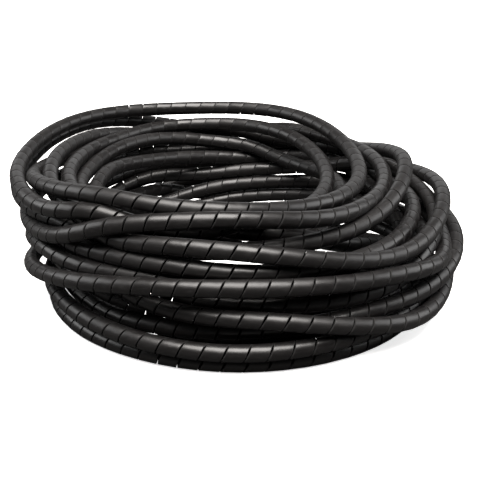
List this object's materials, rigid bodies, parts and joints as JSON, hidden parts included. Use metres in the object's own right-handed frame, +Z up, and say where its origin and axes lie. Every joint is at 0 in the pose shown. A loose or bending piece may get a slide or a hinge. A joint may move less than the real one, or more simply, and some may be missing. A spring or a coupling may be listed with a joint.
{
  "type": "spiral cable wrap coil",
  "caption": "Loose coil of black spiral wrapping tube for bundling cables, lying flat on its lowest turns.",
  "frame": {"origin": "middle of the coil, on the surface that it lies on", "axes": "+Z up along the coil's axis; the picture looks along +Y"},
  "size_m": [0.252, 0.252, 0.082],
  "materials": {
    "black_polyethylene": "satin extruded"
  },
  "bodies": {
    "root": {"spiral_wrap_coil": "black_polyethylene"}
  },
  "joints": []
}
